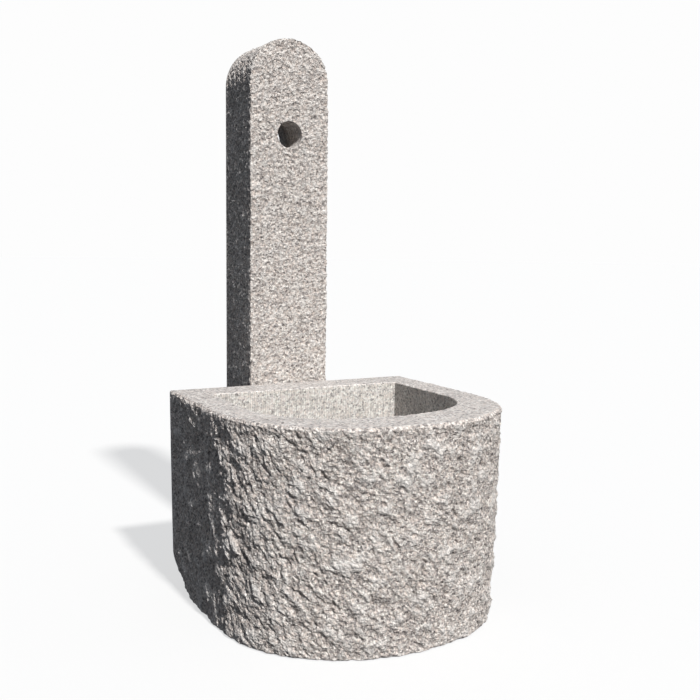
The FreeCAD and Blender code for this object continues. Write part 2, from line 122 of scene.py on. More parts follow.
# ---- Settings ----
class StoneSettings(bpy.types.PropertyGroup):
    relief: FloatProperty(
        name="Pointed relief", description="Depth of the pits that the point leaves on the trough",
        default=0.0095, min=0.0, max=0.02, subtype="DISTANCE", unit="LENGTH")
    pit_size: FloatProperty(
        name="Pit size", description="Width of one pit across the stroke of the point",
        default=0.015, min=0.006, max=0.05, subtype="DISTANCE", unit="LENGTH")
    stroke: FloatProperty(
        name="Stroke", description="Length of a pit along the stroke, against its width",
        default=1.7, min=1.0, max=4.0)
    stroke_angle: FloatProperty(
        name="Stroke angle", description="Slope of the point's strokes, from level",
        default=math.radians(-50), subtype="ANGLE", unit="ROTATION")
    fullness: FloatProperty(
        name="Fullness", description="How far the hewn skin stands out round the trough's drawn outline",
        default=0.0075, min=0.0, max=0.012, subtype="DISTANCE", unit="LENGTH")
    swell: FloatProperty(
        name="Swell", description="Slow unevenness of the hewn faces",
        default=0.0026, min=0.0, max=0.008, subtype="DISTANCE", unit="LENGTH")
    hammer: FloatProperty(
        name="Hammered relief", description="Depth of the bush-hammered grain on the column",
        default=0.0041, min=0.0, max=0.006, subtype="DISTANCE", unit="LENGTH")
    batter: FloatProperty(
        name="Batter", description="How far the trough steps in towards the ground",
        default=0.012, min=0.0, max=0.03, subtype="DISTANCE", unit="LENGTH")
    wear: FloatProperty(
        name="Arris wear", description="How much the outer edges are rubbed and chipped",
        default=0.0022, min=0.0, max=0.008, subtype="DISTANCE", unit="LENGTH")


class GraniteSettings(bpy.types.PropertyGroup):
    crystal: FloatProperty(
        name="Crystal size", description="Mean size of the stone's crystals",
        default=0.0040, min=0.001, max=0.01, subtype="DISTANCE", unit="LENGTH")
    mica: FloatVectorProperty(
        name="Mica", description="Colour of the dark mica flakes",
        default=(0.075, 0.070, 0.072), size=3, min=0, max=1, subtype="COLOR")
    quartz: FloatVectorProperty(
        name="Quartz", description="Colour of the grey quartz",
        default=(0.345, 0.325, 0.315), size=3, min=0, max=1, subtype="COLOR")
    feldspar: FloatVectorProperty(
        name="Feldspar", description="Colour of the pinkish feldspar",
        default=(0.585, 0.520, 0.480), size=3, min=0, max=1, subtype="COLOR")
    albite: FloatVectorProperty(
        name="Albite", description="Colour of the white feldspar",
        default=(0.720, 0.700, 0.670), size=3, min=0, max=1, subtype="COLOR")


class FittingSettings(bpy.types.PropertyGroup):
    steel: FloatVectorProperty(
        name="Stainless steel", description="Colour of the waste and standpipe",
        default=(0.58, 0.575, 0.56), size=3, min=0, max=1, subtype="COLOR")
    zinc: FloatVectorProperty(
        name="Zinc plate", description="Colour of the clips, screws and studs",
        default=(0.50, 0.52, 0.54), size=3, min=0, max=1, subtype="COLOR")
    brass: FloatVectorProperty(
        name="Brass", description="Colour of the brass fittings",
        default=(0.62, 0.44, 0.19), size=3, min=0, max=1, subtype="COLOR")
    copper: FloatVectorProperty(
        name="Copper", description="Colour of the feed pipe",
        default=(0.66, 0.31, 0.19), size=3, min=0, max=1, subtype="COLOR")
    rubber: FloatVectorProperty(
        name="Rubber", description="Colour of the seals, liners and pads",
        default=(0.022, 0.022, 0.024), size=3, min=0, max=1, subtype="COLOR")
    nylon: FloatVectorProperty(
        name="Nylon", description="Colour of the wall plugs and the slip washer",
        default=(0.42, 0.43, 0.44), size=3, min=0, max=1, subtype="COLOR")


class StageSettings(bpy.types.PropertyGroup):
    floor: FloatVectorProperty(
        name="Floor", description="Colour of the floor",
        default=(0.80, 0.80, 0.80), size=3, min=0, max=1, subtype="COLOR")
    key: FloatProperty(
        name="Key light", description="Strength of the key light", default=5.35, min=0, max=20)
    key_azimuth: FloatProperty(
        name="Key azimuth", description="Angle of the key light, to the right of straight in front",
        default=math.radians(0.5), subtype="ANGLE", unit="ROTATION")
    key_height: FloatProperty(
        name="Key height", description="Angle of the key light above the horizon",
        default=math.radians(43), subtype="ANGLE", unit="ROTATION")
    key_spread: FloatProperty(
        name="Key spread", description="Width of the key light, which softens its shadows",
        default=math.radians(4), subtype="ANGLE", unit="ROTATION")
    fill: FloatProperty(
        name="Fill light", description="Strength of the light from all round", default=0.19, min=0, max=5)


# ---- Node helpers ----
class Tree:
    """A material's or a world's node tree, with short ways to add and join nodes."""

    def __init__(self, owner):
        owner.use_nodes = True
        self.tree = owner.node_tree
        self.tree.nodes.clear()

    def add(self, kind, inputs=None, **settings):
        node = self.tree.nodes.new("ShaderNode" + kind)
        for name, value in settings.items():
            setattr(node, name, value)
        for key, value in (inputs or {}).items():
            self.feed(node.inputs[key], value)
        return node

    def feed(self, socket, value):
        if isinstance(value, bpy.types.NodeSocket):
            self.tree.links.new(value, socket)
        else:
            socket.default_value = value

    def maths(self, operation, a, b=0.0, clamp=False):
        return self.add("Math", {0: a, 1: b}, operation=operation, use_clamp=clamp).outputs[0]

    def span(self, value, low, high, to_low=0.0, to_high=1.0):
        inputs = {"Value": value, "From Min": low, "From Max": high, "To Min": to_low, "To Max": to_high}
        return self.add("MapRange", inputs).outputs["Result"]

    def mix(self, factor, a, b, blend="MIX"):
        node = self.add("Mix", data_type="RGBA", blend_type=blend)
        for key, value in ((0, factor), (6, a), (7, b)):
            self.feed(node.inputs[key], value)
        return node.outputs[2]

    def noise(self, where, scale, detail=2.0, rough=0.5):
        inputs = {"Vector": where, "Scale": scale, "Detail": detail, "Roughness": rough}
        return self.add("TexNoise", inputs).outputs

    def cells(self, where, scale, feature="F1"):
        return self.add("TexVoronoi", {"Vector": where, "Scale": scale}, feature=feature).outputs

    def ramp(self, value, stops, interpolation="LINEAR"):
        node = self.add("ValToRGB", {"Fac": value})
        ramp = node.color_ramp
        ramp.interpolation = interpolation
        while len(ramp.elements) < len(stops):
            ramp.elements.new(1.0)
        for element, (place, colour) in zip(ramp.elements, stops):
            element.position = place
            element.color = (*colour, 1.0)
        return node.outputs["Color"]

    def bump(self, height, distance, strength=1.0, normal=None):
        inputs = {"Height": height, "Distance": distance, "Strength": strength}
        if normal is not None:
            inputs["Normal"] = normal
        return self.add("Bump", inputs).outputs["Normal"]

    def attribute(self, name):
        return self.add("Attribute", attribute_name=name).outputs["Fac"]

    def surface(self, **inputs):
        """Ends the tree in one principled surface."""
        shader = self.add("BsdfPrincipled", {k.replace("_", " "): v for k, v in inputs.items()})
        self.add("OutputMaterial", {"Surface": shader.outputs[0]})


def rgba(colour):
    return (*colour, 1.0)


def shaded(colour, share):
    return tuple(channel * share for channel in colour)


# ---- Materials ----
def granite(name, tone=1.0):
    """Speckled granite. The piece's own attributes say how each face was worked:
    tooling from fine to pointed, crest from pit to ridge, and combed for the trough's inner walls."""
    settings = bpy.context.scene.fountain_granite
    material = bpy.data.materials.new(name)
    t = Tree(material)
    place = t.add("TexCoord").outputs["Object"]
    tooling = t.attribute("tooling")
    crest = t.attribute("crest")

    shake = t.noise(place, 1 / 0.004, 2.0)["Color"]
    shake = t.add("VectorMath", {0: shake, 1: (0.5, 0.5, 0.5)}, operation="SUBTRACT").outputs[0]
    shake = t.add("VectorMath", {0: shake, "Scale": 0.0022}, operation="SCALE").outputs[0]
    bent = t.add("VectorMath", {0: place, 1: shake}, operation="ADD").outputs[0]

    crystals = t.cells(bent, 1 / settings.crystal)
    pick = t.add("SeparateColor", {"Color": crystals["Color"]}).outputs
    colour = t.ramp(pick["Red"], [
        (0.00, settings.mica),
        (0.07, settings.mica),
        (0.12, settings.quartz),
        (0.34, settings.quartz),
        (0.42, settings.feldspar),
        (0.66, settings.feldspar),
        (0.74, settings.albite),
        (1.00, settings.albite),
    ])
    small = t.cells(bent, 2.4 / settings.crystal)
    small_pick = t.add("SeparateColor", {"Color": small["Color"]}).outputs
    grains = t.ramp(small_pick["Green"], [
        (0.00, shaded(settings.mica, 0.8)),
        (0.10, settings.quartz),
        (0.55, settings.feldspar),
        (1.00, settings.albite),
    ])
    colour = t.mix(0.34, colour, grains)
    cloud = t.noise(place, 14.0, 4.0, 0.6)["Fac"]
    clouds = t.ramp(cloud, [(0.25, (0.90, 0.89, 0.88)), (0.75, (1.06, 1.06, 1.06))])
    colour = t.mix(1.0, colour, clouds, "MULTIPLY")
    patch = t.noise(place, 1 / 0.0085, 2.0, 0.6)["Fac"]
    dull, bright = shaded((0.83, 0.83, 0.84), tone), shaded((1.12, 1.11, 1.10), tone)
    colour = t.mix(1.0, colour, t.ramp(patch, [(0.30, dull), (0.70, bright)]), "MULTIPLY")
    pepper = t.ramp(t.noise(place, 1 / 0.0050, 1.0)["Fac"], [(0.34, (0.70, 0.69, 0.69)), (0.64, (1.17, 1.16, 1.15))])
    colour = t.mix(t.span(tooling, 0.45, 0.80), colour, t.mix(1.0, colour, pepper, "MULTIPLY"))
    calm = t.span(tooling, 0.15, 0.36, 0.16, 0.0)
    colour = t.mix(calm, colour, rgba((0.570, 0.540, 0.510)))
    comb = t.maths("SINE", t.maths("MULTIPLY", t.attribute("run"), 2 * math.pi / COMB_PITCH))
    comb = t.maths("MULTIPLY", comb, t.attribute("combed"))
    # painted shade in the comb's grooves and painted highlight on its ridges, on the combed inner walls
    painted_comb_shading = t.ramp(t.span(comb, -1.0, 1.0), [(0.0, (0.84, 0.85, 0.84)), (0.5, (1.0, 1.0, 1.0)), (1.0, (1.08, 1.08, 1.07))])
    colour = t.mix(1.0, colour, painted_comb_shading, "MULTIPLY")
    # painted light: lighter and cooler on the combed inner walls, standing in for light bounced round the hollow;
    # darker on the rim, the lip and the sawn faces
    ground = t.ramp(tooling, [(0.20, (1.06, 1.08, 1.09)), (0.36, (0.87, 0.88, 0.89)), (0.70, (1.0, 1.0, 1.0))])
    colour = t.mix(1.0, colour, ground, "MULTIPLY")
    # painted highlight: the crests of the pointed and hammered relief are lightened towards pale grey
    painted_crest_highlight = t.maths("MULTIPLY", t.span(crest, 0.62, 1.0), t.span(tooling, 0.4, 1.0, 0.0, 0.55))
    colour = t.mix(painted_crest_highlight, colour, rgba((0.80, 0.775, 0.75)))
    # painted shade: the pits of the pointed and hammered relief are darkened
    pit = t.maths("MULTIPLY", t.span(crest, 0.45, 0.0), t.span(tooling, 0.4, 1.0, 0.0, 0.36))
    colour = t.mix(pit, colour, t.mix(1.0, colour, rgba((0.52, 0.49, 0.48)), "MULTIPLY"))

    grain = t.noise(place, 1 / 0.0052, 4.0, 0.65)["Fac"]
    strike = t.span(tooling, 0.0, 1.0, 0.12, 1.0)
    normal = t.bump(grain, 0.0080, strike)
    fine = t.maths("ADD", t.noise(place, 1 / 0.0018, 2.0)["Fac"], t.maths("MULTIPLY", pick["Blue"], 0.35))
    normal = t.bump(fine, 0.0005, t.span(tooling, 0.0, 1.0, 0.5, 0.9), normal)
    normal = t.bump(comb, 0.0010, 0.8, normal)

    glint = t.span(pick["Green"], 0.90, 1.0)
    rough = t.maths("SUBTRACT", t.span(grain, 0.2, 0.8, 0.70, 0.92), t.maths("MULTIPLY", glint, 0.38))
    t.surface(Base_Color=colour, Roughness=rough, Normal=normal)
    return material


def metal(name, colour, rough, brushed=0.5, tarnish=(1.0, 1.0, 1.0), tarnish_share=0.0):
    """Metal with a drawn or turned grain along its length, handling marks and some tarnish."""
    material = bpy.data.materials.new(name)
    t = Tree(material)
    place = t.add("TexCoord").outputs["Object"]
    drawn = t.add("Mapping", {"Vector": place, "Scale": (1.0, 1.0, 0.04)}).outputs[0]
    grain = t.noise(drawn, 1800.0, 3.0, 0.6)["Fac"]
    marks = t.noise(place, 90.0, 5.0, 0.7)["Fac"]
    cloud = t.noise(place, 22.0, 4.0, 0.6)["Fac"]
    base = t.mix(t.span(grain, 0.3, 0.7, 0.0, brushed), rgba(colour), rgba(shaded(colour, 0.82)))
    stain = t.maths("MULTIPLY", t.span(cloud, 0.42, 0.68), tarnish_share)
    base = t.mix(stain, base, rgba(tarnish))
    handled = t.span(marks, 0.3, 0.75, rough * 0.8, rough * 1.35)
    worn = t.maths("ADD", handled, t.maths("MULTIPLY", stain, 0.25))
    normal = t.bump(grain, 0.00006, 0.5)
    normal = t.bump(marks, 0.00025, 0.35, normal)
    t.surface(Base_Color=base, Metallic=1.0, Roughness=worn, Normal=normal)
    return material


def moulded(name, colour, rough, mottling=0.18):
    """Rubber or plastic, with a matt moulded skin, dust and faint mottling."""
    material = bpy.data.materials.new(name)
    t = Tree(material)
    place = t.add("TexCoord").outputs["Object"]
    skin = t.noise(place, 1500.0, 2.0)["Fac"]
    cloud = t.noise(place, 45.0, 5.0, 0.65)["Fac"]
    dusty = tuple(min(1.0, channel * 1.5 + 0.03) for channel in colour)
    base = t.mix(t.span(cloud, 0.35, 0.75, 0.0, mottling * 2), rgba(colour), rgba(dusty))
    worn = t.span(cloud, 0.3, 0.7, rough, rough + 0.15)
    normal = t.bump(skin, 0.00012, 0.6)
    t.surface(Base_Color=base, Roughness=worn, Normal=normal)
    return material


def dress(material, *names):
    """Gives frame pieces a material in place of their plain one."""
    for name in names:
        slots = NODES[name].data.materials
        slots.clear()
        slots.append(material)


# ---- Shapes in plan ----
def arc_length(points):
    """Running length along a closed row of points, at each point."""
    runs = [0.0]
    for here, there in zip(points, points[1:]):
        runs.append(runs[-1] + (there - here).length)
    return runs


def outward(points):
    """Level outward direction at each point of a row that runs anticlockwise, seen from above."""
    count = len(points)
    directions = []
    for i in range(count):
        along = points[(i + 1) % count] - points[i - 1]
        directions.append(Vector((along.y, -along.x, 0.0)).normalized())
    return directions


def d_outline(half, rear, bow_start, bow, corner):
    """Points of a D in plan: left flank, bow, right flank, rear. bow(t) goes from left to right."""
    def rear_corner(side, turn):
        """A place on the rear corner's arc, turned from the x axis."""
        x = side * (half - corner) + corner * math.cos(turn)
        return Vector((x, rear - corner + corner * math.sin(turn), 0.0))

    points = []
    for i in range(FLANK_STEPS):
        points.append(Vector((-half, lerp(rear - corner, bow_start, i / FLANK_STEPS), 0.0)))
    for i in range(BOW_STEPS):
        points.append(bow(i / BOW_STEPS))
    for i in range(FLANK_STEPS):
        points.append(Vector((half, lerp(bow_start, rear - corner, i / FLANK_STEPS), 0.0)))
    for i in range(CORNER_STEPS):
        points.append(rear_corner(1, math.pi / 2 * i / CORNER_STEPS))
    for i in range(REAR_STEPS):
        points.append(Vector((lerp(half - corner, corner - half, i / REAR_STEPS), rear, 0.0)))
    for i in range(CORNER_STEPS):
        points.append(rear_corner(-1, math.pi / 2 * (1 + i / CORNER_STEPS)))
    return points


def outer_outline(inset):
    half = TROUGH_HIGH.x - inset
    rear = TROUGH_HIGH.y
    bow_start = rear - TROUGH_STRAIGHT
    depth = bow_start - TROUGH_LOW.y - inset

    def bow(t):
        """A little fuller than an ellipse, and more so on the right."""
        angle = math.pi * (1 + t)
        power = 2 / lerp(BOW_FULLNESS_LEFT, BOW_FULLNESS_RIGHT, smooth(t))
        cosine, sine = math.cos(angle), math.sin(angle)
        x = math.copysign(abs(cosine) ** power, cosine)
        return Vector((half * x, bow_start - depth * abs(sine) ** power, 0.0))

    points = d_outline(half, rear - inset * 0.15, bow_start, bow, 0.004)
    # the left flank hardly leans in
    for point in points:
        point.x -= 0.6 * inset * smooth(-2 * point.x / half - 1)
    return points


def inner_outline(inset):
    """The hollow's outline, drawn in by inset: sharp back corners and a three-centred bow."""
    half = TROUGH_HIGH.x - SIDE_WALL
    rear = TROUGH_HIGH.y - BACK_WALL
    bow_start = TROUGH_HIGH.y - CAVITY_STRAIGHT
    rise = bow_start - TROUGH_LOW.y - FRONT_WALL
    corner = CAVITY_CORNER
    front = (half ** 2 + rise ** 2 - 2 * half * corner) / (2 * (rise - corner))
    corner_x = half - corner
    turn = math.atan2(front - rise, corner_x)
    corner_run = (corner - inset) * turn
    front_run = (front - inset) * (math.pi - 2 * turn)
    total = 2 * corner_run + front_run

    def bow(t):
        run = t * total
        if run < corner_run:
            angle = math.pi + turn * run / corner_run
            centre, radius = Vector((-corner_x, bow_start, 0.0)), corner - inset
        elif run > total - corner_run:
            angle = 2 * math.pi - turn * (total - run) / corner_run
            centre, radius = Vector((corner_x, bow_start, 0.0)), corner - inset
        else:
            angle = math.pi + turn + (run - corner_run) / (front - inset)
            centre, radius = Vector((0.0, bow_start - rise + front, 0.0)), front - inset
        return centre + Vector((radius * math.cos(angle), radius * math.sin(angle), 0.0))

    return d_outline(half - inset, rear - inset, bow_start, bow, 0.002)


# ---- The marks of the tools ----
def pointed_relief(run, z, settings):
    """Depth that the point took away, and how near a crest the spot is, from 0 to 1."""
    cosine, sine = math.cos(settings.stroke_angle), math.sin(settings.stroke_angle)
    spot = Vector((run, z, 0.0))
    drift = noise.noise_vector(spot / 0.03) * 0.5
    along = (run * cosine + z * sine) / (settings.pit_size * settings.stroke)
    across = (z * cosine - run * sine) / settings.pit_size
    bent = Vector((along, across, 3.1)) + drift
    gouge = noise.noise(bent)
    strokes = min(0.0, noise.noise(bent * 1.5 + Vector((7.7, 2.2, 5.1))) + 0.10)
    broad = noise.noise(spot / 0.042 + Vector((0.0, 0.0, 4.0)))
    lumps = noise.noise(spot / 0.0125 + Vector((0.0, 0.0, 1.5)))
    crumb = noise.noise(spot / 0.0078 + Vector((0.0, 0.0, 6.0)))
    fine = noise.noise(spot / 0.0050 + Vector((0.0, 0.0, 2.0)))
    height = 0.40 * gouge + 0.72 * strokes + 0.52 * broad + 0.16 * lumps + 0.20 * crumb + 0.21 * fine
    slow = noise.noise(spot / 0.11 + Vector((0.0, 0.0, 9.0)))
    depth = settings.relief * (0.38 - height) + settings.swell * (slow + 0.3)
    crest = min(max(0.62 + 1.0 * height, 0.0), 1.0)
    return depth, crest


def chip_depth(run, salt):
    """Small chips along an edge: mostly none, now and then a bite."""
    bite = noise.noise(Vector((run / 0.022, salt, 0.0)))
    return max(0.0, bite - 0.18) * 1.6 + 0.35 * abs(noise.noise(Vector((run / 0.007, salt, 4.0))))


def hammered_relief(spot):
    """Depth of the bush hammer's pocks at a spot, from 0 to about 1."""
    coarse = noise.noise(spot / 0.0150)
    middle = noise.noise(spot / 0.0085 + Vector((3.3, 0.0, 0.0)))
    fine = noise.noise(spot / 0.0050 + Vector((0.0, 5.0, 0.0)))
    return 0.35 - 0.36 * coarse - 0.48 * middle - 0.50 * fine


# ---- Building a piece ----
class Ring:
    """One closed row of the trough's skin: its points and how the stone was worked there."""

    def __init__(self, points, tooling, crest=None, combed=0.0):
        self.points = points
        self.tooling = tooling
        self.crest = crest or [0.5] * len(points)
        self.combed = combed


def new_piece(name, bm, material, slot, *nodes):
    """Makes a finished mesh an object, in place of the frame nodes it stands for."""
    bmesh.ops.recalc_face_normals(bm, faces=bm.faces)
    mesh = bpy.data.meshes.new(name)
    bm.to_mesh(mesh)
    bm.free()
    mesh.materials.append(material)
    piece = bpy.data.objects.new(name, mesh)
    bpy.context.scene.collection.objects.link(piece)
    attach(piece, "stones")
    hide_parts(*nodes)
    return piece


def loft(rings, runs):
    """Skins rings of like points, from the first to the last and back to the first."""
    bm = bmesh.new()
    place = bm.verts.layers.int.new("place")
    tooling = bm.verts.layers.float.new("tooling")
    crest = bm.verts.layers.float.new("crest")
    combed = bm.verts.layers.float.new("combed")
    run = bm.verts.layers.float.new("run")

    def set_ring(verts, ring):
        for vert in verts:
            i = vert[place]
            vert.co = ring.points[i]
            vert[tooling] = ring.tooling[i]
            vert[crest] = ring.crest[i]
            vert[combed] = ring.combed
            vert[run] = runs[i]

    verts = bmesh.ops.create_circle(bm, segments=len(runs), radius=1.0)["verts"]
    for i, vert in enumerate(verts):
        vert[place] = i
    set_ring(verts, rings[0])
    first = edges = bm.edges[:]
    for ring in rings[1:]:
        grown = bmesh.ops.extrude_edge_only(bm, edges=edges)["geom"]
        set_ring([g for g in grown if isinstance(g, bmesh.types.BMVert)], ring)
        edges = [g for g in grown if isinstance(g, bmesh.types.BMEdge)]
        edges = [edge for edge in edges if edge.is_boundary]
    bmesh.ops.bridge_loops(bm, edges=list(first) + edges)
    bm.verts.layers.int.remove(place)
    return bm


def trough_rings(settings):
    """The rings of the trough's skin, from the drain's seat over floor, rim and flanks to the underside."""
    top = TROUGH_HIGH.z
    outer_top = outer_outline(0.0)
    count = len(outer_top)
    runs = arc_length(outer_top)
    inner_runs = arc_length(inner_outline(0.0))
    facing = outward(outer_top)
    rear_from = 2 * FLANK_STEPS + BOW_STEPS
    # how boldly each place along the outline was pointed: the sawn rear isn't
    bold, full = [], []
    for i in range(count):
        from_corner = min(runs[i], abs(runs[rear_from] - runs[i]))
        bold.append(0.0 if i >= rear_from else smooth(from_corner / 0.018))
        full.append(settings.fullness * lerp(0.35, 1.0, smooth(from_corner / 0.15)))

    def circle(radius, z):
        points = []
        for point in outer_top:
            away = (point - DRAIN).normalized() * radius
            points.append(DRAIN + away + Vector((0.0, 0.0, z)))
        return points

    def raised(points, z):
        return [Vector((point.x, point.y, z)) for point in points]

    def plain(points, tooling):
        return Ring(points, [tooling] * count)

    rings = [plain(circle(DRAIN_HOLE, DRAIN_LEDGE), 0.0)]
    rings.append(plain(circle(FLANGE_SEAT, DRAIN_LEDGE), 0.0))
    rings.append(plain(circle(FLANGE_SEAT, FLOOR_TOP - 0.001), 0.1))

    # the trough's floor
    fillet = 0.010
    floor_edge = raised(inner_outline(fillet), FLOOR_TOP)
    eye = circle(FLANGE_SEAT + 0.001, FLOOR_TOP)
    floor_rows = 5
    for row in range(floor_rows + 1):
        share = row / floor_rows
        points = []
        for inside, outside in zip(eye, floor_edge):
            point = inside.lerp(outside, share)
            point.z += 0.0008 * noise.noise(point / 0.05) * math.sin(math.pi * share)
            points.append(point)
        rings.append(plain(points, 0.25))
    for step in (1, 2, 3):
        angle = math.pi / 2 * step / 3
        draw = fillet * (1 - math.sin(angle))
        rings.append(plain(raised(inner_outline(draw), FLOOR_TOP + fillet * (1 - math.cos(angle))), 0.25))

    # the inner walls, combed upright
    wall_rows = 12
    inner_facing = outward(inner_outline(0.0))
    arris = 0.0025
    for row in range(1, wall_rows + 1):
        z = lerp(FLOOR_TOP + fillet, top - arris - 0.0005, row / wall_rows)
        points = []
        for point, out in zip(inner_outline(0.0), inner_facing):
            wave = noise.noise(Vector((point.x, point.y, z)) / 0.07) * 0.0008
            points.append(Vector((point.x, point.y, z)) + out * wave)
        rings.append(Ring(points, [0.18] * count, combed=1.0))

    def lip(spread, drop, wear):
        """One row of the worn inner edge: out by spread and down by drop, where the edge is whole."""
        points = []
        for point, out, run in zip(inner_outline(0.0), inner_facing, inner_runs):
            bite = wear * chip_depth(run, 2.0)
            points.append(Vector((point.x, point.y, top - drop - bite)) + out * (spread + bite * 0.7))
        return points

    # the inner edge of the rim, and the rim itself
    for drop, spread in ((0.0018, 0.0001), (0.0006, 0.0012), (0.0, 0.0028)):
        rings.append(plain(lip(spread, drop, settings.wear * 1.2), 0.3))
    inner_edge = lip(0.0065, 0.0, settings.wear * 0.35)

    def depth_along(z, share, standing):
        """Depth of the relief along the outline at one height, less what stands out of it."""
        depths = [pointed_relief(run, z, settings)[0] for run in runs[:count]]
        return [(depth * share - out * standing) * keen for depth, out, keen in zip(depths, full, bold)]

    depth_at_rim = depth_along(top, 0.60, 0.7)
    outer_edge = []
    for i in range(count):
        pull = 0.0065 + depth_at_rim[i]
        outer_edge.append(Vector((outer_top[i].x, outer_top[i].y, top)) - facing[i] * pull)
    rim_rows = 9
    for row in range(rim_rows + 1):
        share = row / rim_rows
        points = []
        for inside, outside in zip(inner_edge, outer_edge):
            point = inside.lerp(outside, share)
            point.z -= 0.0007 * (0.5 + noise.noise(point / 0.045)) + 0.0003 * noise.noise(point / 0.012)
            points.append(point)
        rings.append(plain(points, 0.36))

    # the outer edge, uneven where pits run out over it
    for drop, inset, share in ((0.0006, 0.0036, 0.7), (0.0016, 0.0018, 1.2), (0.0032, 0.0006, 1.6)):
        points = []
        for i in range(count):
            bite = settings.wear * chip_depth(runs[i], 6.0) * share * lerp(0.35, 1.0, bold[i])
            pull = inset + depth_at_rim[i] + bite * 0.9
            points.append(Vector((outer_top[i].x, outer_top[i].y, top - drop - bite)) - facing[i] * pull)
        rings.append(plain(points, 0.75))

    def knocked(i, z):
        """How far in the foot of a rear corner is knocked off: most at the left."""
        away = min(runs[i], abs(runs[rear_from] - runs[i]))
        if i >= rear_from:
            away = min(runs[-1] - runs[i], runs[i] - runs[rear_from])
        left = outer_top[i].x < 0
        reach = max(0.0, 1 - z / 0.075) ** 1.5 * max(0.0, 1 - away / 0.13)
        return (0.026 if left else 0.010) * reach

    # flanks and bow, pointed from top to bottom
    foot = 0.006
    for row in range(1, WALL_ROWS + 1):
        z = lerp(top - 0.0032, foot, row / WALL_ROWS)
        inset = settings.batter * (1 - z / top) ** 1.4
        outline = outer_outline(inset)
        margin = lerp(0.60, 1.0, smooth((top - z) / 0.022)) * lerp(0.7, 1.0, smooth(z / 0.02))
        points, tooling, crest = [], [], []
        for i, (point, out) in enumerate(zip(outline, facing)):
            depth, ridge = pointed_relief(runs[i], z, settings)
            taken = (depth * margin - full[i] * lerp(0.7, 1.0, margin)) * bold[i]
            if bold[i] == 0.0:
                taken = 0.0004 * (1 + noise.noise(Vector((point.x, 0.0, z)) / 0.03))
            points.append(Vector((point.x, point.y, z)) - out * taken)
            points[-1].x -= math.copysign(knocked(i, z), point.x)
            tooling.append(lerp(0.35, 1.0, bold[i] * margin))
            crest.append(lerp(0.5, ridge, bold[i]))
        rings.append(Ring(points, tooling, crest))

    # the lower edge and the underside
    outline = outer_outline(settings.batter)
    depth_at_foot = depth_along(0.0, 0.7, 1.0)
    for z, inset in ((0.0030, 0.0012), (0.0010, 0.0036), (0.0, 0.0075)):
        points = []
        for i, point in enumerate(outline):
            bite = settings.wear * chip_depth(runs[i], 11.0) * lerp(0.3, 1.0, bold[i])
            place = Vector((point.x, point.y, z)) - facing[i] * (inset + depth_at_foot[i] + bite)
            place.x -= math.copysign(knocked(i, z), point.x)
            points.append(place)
        rings.append(plain(points, 0.6))
    under_edge = rings[-1].points
    recess = circle(RECESS_RADIUS, 0.0)
    for share in (0.25, 0.5, 0.75, 0.97):
        rings.append(plain([a.lerp(b, share) for a, b in zip(under_edge, recess)], 0.3))
    for wider, z in ((0.0008, 0.0004), (0.0, 0.0015), (0.0, RECESS_DEPTH)):
        rings.append(plain(circle(RECESS_RADIUS + wider, z), 0.2))
    rings.append(plain(circle(DRAIN_HOLE, RECESS_DEPTH), 0.2))
    return rings, runs


# ---- The column ----
def head_point(a, b):
    """A place in the column's round head: a goes across from -1 to 1, and b up from 0 to 1."""
    radius = COLUMN_HIGH.x
    x = a * math.sqrt(1 - b * b / 2)
    z = b * math.sqrt(1 - a * a / 2)
    return radius * x, COLUMN_HIGH.z - radius + radius * z


def face_point(i, j):
    """A place on the column's face, by its place in the grid; whole numbers aren't needed."""
    across = -1 + 2 * i / COLUMN_COLUMNS
    if j > COLUMN_ROWS:
        return head_point(across, (j - COLUMN_ROWS) / HEAD_ROWS)
    spring = COLUMN_HIGH.z - COLUMN_HIGH.x
    return across * COLUMN_HIGH.x, spring * j / COLUMN_ROWS


def ring_of(i, j, hole_i, hole_j):
    return max(abs(i - hole_i), abs(j - hole_j))


def round_hole(i, j, hole_i, hole_j):
    """Draws the grid round the tap hole into rings, from the hole's circle out to the window's square."""
    ring = ring_of(i, j, hole_i, hole_j)
    if ring >= HOLE_WINDOW or ring < HOLE_RING:
        return face_point(i, j)
    reach = HOLE_WINDOW / ring
    far_x, far_z = face_point(hole_i + (i - hole_i) * reach, hole_j + (j - hole_j) * reach)
    angle = math.atan2(j - hole_j, i - hole_i)
    near_x = TAP_HOLE_RADIUS * math.cos(angle)
    near_z = TAP_HOLE_HEIGHT + TAP_HOLE_RADIUS * math.sin(angle)
    share = (ring - HOLE_RING) / (HOLE_WINDOW - HOLE_RING)
    return lerp(near_x, far_x, share), lerp(near_z, far_z, share)


def verts_of(geometry):
    return [g for g in geometry if isinstance(g, bmesh.types.BMVert)]


def edges_of(geometry):
    return [g for g in geometry if isinstance(g, bmesh.types.BMEdge)]


def pull_edges(bm, edges, offset, steps):
    """Extrudes open edges by offset, in steps, and gives back the last row of edges."""
    for _step in range(steps):
        grown = bmesh.ops.extrude_edge_only(bm, edges=edges)["geom"]
        new = set(verts_of(grown))
        bmesh.ops.translate(bm, verts=list(new), vec=offset / steps)
        edges = [edge for edge in edges_of(grown) if edge.verts[0] in new and edge.verts[1] in new]
    return edges


